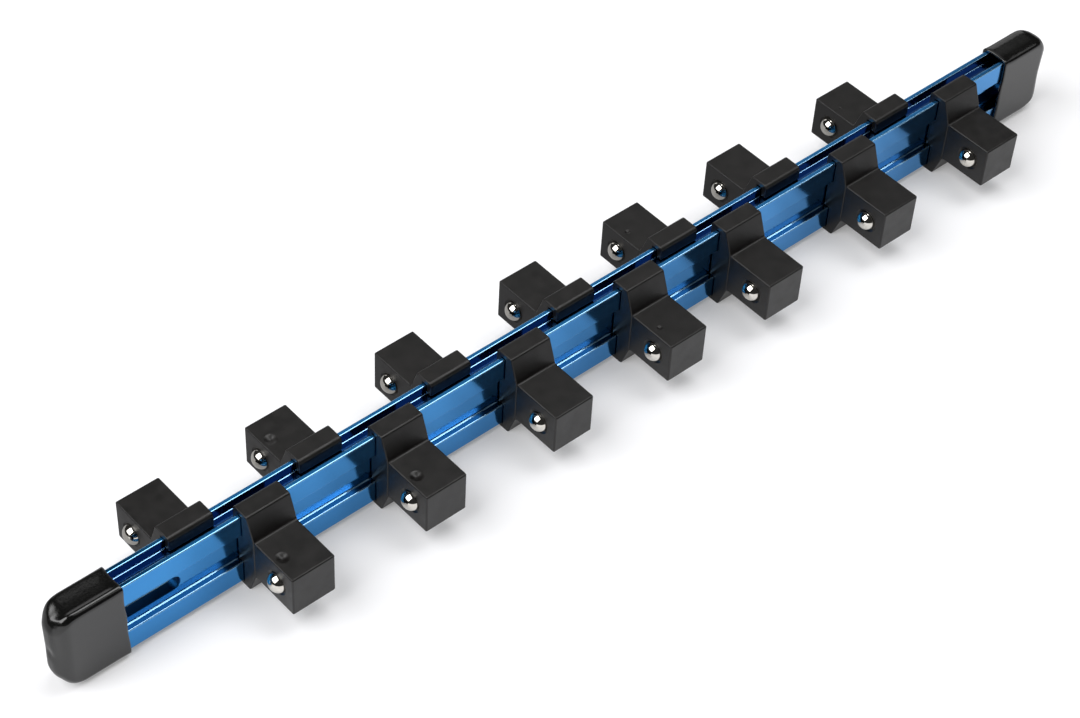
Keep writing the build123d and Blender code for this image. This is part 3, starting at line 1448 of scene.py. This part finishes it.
@dataclass
class ClipRow:
    """The seven clips on one side of the rail, each with its ball and its spring."""

    side: Side
    places: Sequence[float]
    marks: dict[int, Mark]
    moulding: ClipMoulding
    detent: Detent
    track_half: float = 150.25

    def place_tree(self) -> Tree:
        """The tree that puts a moulded clip at its place on the rail.

        Returns:
            The tree.
        """
        sockets = {"Clip": OBJECT, "Turn": FLOAT, "Place": VECTOR}
        tree, source = new_tree(f"{self.side.label}_clip_place", sockets)
        info = add_node(tree, "GeometryNodeObjectInfo", {"Object": source.outputs["Clip"]})
        turn = add_node(tree, "ShaderNodeCombineXYZ", {"X": source.outputs["Turn"]})
        inputs = {
            "Geometry": info.outputs["Geometry"],
            "Rotation": add_node(tree, "FunctionNodeEulerToRotation", {"Euler": turn}),
            "Translation": source.outputs["Place"],
        }
        end_tree(tree, source, add_node(tree, "GeometryNodeTransform", inputs))
        return tree

    def mount(self) -> None:
        """Make the row's pieces and put each on its body."""
        trees = self.place_tree(), self.detent.ball_tree(), self.detent.coil_tree()
        for number, share in enumerate(self.places, start=1):
            label = f"{self.side.label}_{{}}_{number}"
            centre = share * self.track_half
            clip = self.mount_clip(label, centre, trees[0], self.marks.get(number, Mark.NONE))
            self.mount_detent(label, centre - self.detent.half_post, *trees[1:])
            LOG.info("%s clip %d: %d faces", self.side.label, number, len(clip.data.polygons))

    def mount_clip(self, label: str, centre: float, tree: Tree, mark: Mark) -> Object:
        """Make one clip and put it on its body.

        Args:
            label: The pieces' names, with a gap for the word.
            centre: Its place along the rail.
            tree: The tree that puts it there.
            mark: Its sink mark.

        Returns:
            The clip.
        """
        values = {
            "Clip": self.moulding.mould(self.side, mark),
            "Turn": self.side.turn,
            "Place": Vector((centre, 0, MIDDLE_Z)) * MM,
            "Material": self.moulding.finish,
        }
        clip = grow(label.format("nylon_clip"), tree, values)
        dress(clip, self.moulding.finish)
        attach(clip, label.format("clip"))
        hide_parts(label.format("clip"))
        return clip

    def mount_detent(self, label: str, face: float, ball_tree: Tree, coil_tree: Tree) -> None:
        """Make one ball and its spring and put them on their bodies.

        Args:
            label: The pieces' names, with a gap for the word.
            face: Where the post's left face is along the rail.
            ball_tree: The tree that makes the ball.
            coil_tree: The tree that winds the spring.
        """
        detent = self.detent
        across = detent.ball_reach * (-1 if self.side is Side.FRONT else 1)
        values = {
            "Radius": detent.ball_radius * MM,
            "Place": Vector((face + detent.ball_inset, across, MIDDLE_Z)) * MM,
            "Material": detent.ball_finish,
        }
        ball = grow(label.format("steel_ball"), ball_tree, values)
        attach(ball, label.format("ball"))
        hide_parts(label.format("ball"))
        coil_length = detent.bore_depth - detent.coil_start
        values = {
            "Turns": detent.turns,
            "Radius": detent.coil_radius * MM,
            "Length": (coil_length - 2 * detent.wire_radius) * MM,
            "Wire radius": detent.wire_radius * MM,
            "Place": Vector((face + detent.coil_start + detent.wire_radius, across, MIDDLE_Z)) * MM,
            "Material": detent.wire_finish,
        }
        coil = grow(label.format("coil_spring"), coil_tree, values)
        face_outwards(coil)
        coil.data.shade_smooth()
        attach(coil, label.format("clip"))
        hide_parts(label.format("spring"))
        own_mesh(coil)


@dataclass(frozen=True)
class Softbox:
    """A lamp behind a diffuser: the way it lies, its distance, its sides and its brightness."""

    name: str
    direction: Corner
    along: Corner
    distance: float
    length: float
    width: float
    radiance: float

    def build(self) -> None:
        """Hang the lamp, facing the object, with its long side along the named direction."""
        data = bpy.data.lights.new(self.name, "AREA")
        data.shape = "RECTANGLE"
        data.size, data.size_y = self.length * MM, self.width * MM
        data.energy = self.radiance * math.pi * data.size * data.size_y
        away = Vector(self.direction).normalized()
        side = (Vector(self.along) - away * away.dot(Vector(self.along))).normalized()
        put_up(self.name, data, away * self.distance, (side, away.cross(side), away))


def put_up(name: str, data: Any, place: Vector, axes: Sequence[Vector]) -> Object:
    """Put a lamp or a camera in the scene.

    Args:
        name: The object's name.
        data: The lamp's or the camera's data.
        place: Where it stands, in millimetres.
        axes: The directions of its own X, Y and Z.

    Returns:
        The new object.
    """
    obj = bpy.data.objects.new(name, data)
    obj.matrix_world = Matrix.Translation(place * MM) @ Matrix(axes).transposed().to_4x4()
    bpy.context.scene.collection.objects.link(obj)
    return obj


@dataclass
class Studio:
    """The pale floor, the softboxes and the camera at the photograph's place."""

    paper: Material
    boxes: tuple[Softbox, ...] = (
        Softbox("left_softbox", (-0.675, 0.136, 0.727), (0.3, 1.0, 0.0), 2500.0, 2200.0, 2200.0, 5.5),
        Softbox("top_strip", (0.326, -0.033, 0.947), (0.44, -0.57, -0.11), 2500.0, 2000.0, 1100.0, 4.6),
        Softbox("front_diffuser", (0.478, -0.484, 0.733), (1.0, 0.0, 0.0), 2500.0, 2000.0, 800.0, 0.88),
        Softbox("back_diffuser", (0.495, 0.493, 0.727), (1.0, 0.0, 0.0), 2700.0, 1250.0, 760.0, 0.47),
        Softbox("back_sweep", (0.42, 0.85, 0.32), (0.9, -0.43, 0.0), 2500.0, 2600.0, 1050.0, 1.0),
    )
    camera_place: Corner = (-355.25, -351.34, 517.54)
    camera_right: Corner = (0.75327, -0.65634, 0.04251)
    camera_down: Corner = (-0.45176, -0.56329, -0.69183)
    camera_ahead: Corner = (0.47802, 0.50193, -0.72081)
    lens_mm: float = 87.1
    sensor_mm: float = 36.0
    clip_m: Point = (0.01, 20.0)
    floor_half: float = 3000.0
    room_grey: str = "#323232"

    def floor(self) -> None:
        """Lay the paper at the height that the clips stand on."""
        half = self.floor_half
        signs = ((-1, -1), (1, -1), (1, 1), (-1, 1))
        corners = [Vector((x * half, y * half, 0)) for x, y in signs]
        floor = mesh_object("studio_floor", corners, [[0, 1, 2, 3]])
        if floor.data.polygons[0].normal.z < 0:
            floor.data.flip_normals()
        dress(floor, self.paper)

    def lights(self) -> None:
        """Hang the softboxes and set the room's grey."""
        for box in self.boxes:
            box.build()
        world = bpy.data.worlds.new("studio_room")
        world.use_nodes = True
        world.node_tree.nodes.clear()
        grey = {"Color": linear(self.room_grey), "Strength": 1.0}
        shade = add_node(world.node_tree, "ShaderNodeBackground", grey)
        add_node(world.node_tree, "ShaderNodeOutputWorld", {"Surface": shade})
        bpy.context.scene.world = world

    def camera(self) -> None:
        """Set the camera from the fit of the photograph."""
        data = bpy.data.cameras.new("camera")
        data.sensor_width = self.sensor_mm
        data.lens = self.lens_mm
        data.clip_start, data.clip_end = self.clip_m
        axes = (Vector(self.camera_right), -Vector(self.camera_down), -Vector(self.camera_ahead))
        bpy.context.scene.camera = put_up("camera", data, Vector(self.camera_place), axes)

    def build(self) -> None:
        """Set up the whole studio."""
        self.floor()
        self.lights()
        self.camera()
        bpy.context.scene.view_settings.view_transform = "Standard"


def main() -> None:
    """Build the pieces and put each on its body."""
    logging.basicConfig(level=logging.INFO, format="%(name)s: %(message)s")
    nylon = MouldedNylon().build()
    Rail(AnodisedAluminium().build()).mount()
    vinyl = DippedVinyl().build()
    EndCap(
        vinyl,
        "left",
        end=176.7,
        base_radius=6.1,
        wide_radius=4.2,
        sags=(
            (-4.3, 0.32), (-3.4, 0.0), (-2.9, 0.13), (-2.1, 0.34),
            (-1.2, 0.43), (0.5, 0.39), (2.4, 0.24), (4.2, 0.08),
        ),
        mouth=157.05,
        lean=0.2,
        section_radius=1.1,
        top_radius=5.4,
        far_drop=0.8,
        waist_depth=0.1,
    ).mount()
    EndCap(
        vinyl,
        "right",
        end=178.0,
        base_radius=4.8,
        wide_radius=3.6,
        sags=((-4.4, 0.4), (-2.2, 0.1), (-0.5, 0.0), (1.5, 0.03), (3.0, 0.24), (4.4, 0.45)),
        mouth=157.8,
        top_radius=6.1,
        far_drop=0.9,
        waist_depth=1.0,
    ).mount()
    moulding = ClipMoulding(nylon)
    detent = Detent(PolishedSteel().build(), SpringWire().build())
    rows = {
        Side.FRONT: (
            (-0.767, -0.486, -0.199, 0.073, 0.318, 0.622, 0.907),
            {1: Mark.LARGE, 2: Mark.LARGE, 4: Mark.SMALL},
        ),
        Side.REAR: (
            (-0.891, -0.626, -0.344, -0.056, 0.196, 0.462, 0.759),
            {2: Mark.LARGE, 5: Mark.SMALL, 7: Mark.TINY},
        ),
    }
    for side, (places, marks) in rows.items():
        ClipRow(side, places, marks, moulding, detent).mount()
    moulding.clear()
    Studio(StudioPaper().build()).build()


if __name__ == "__main__":
    main()
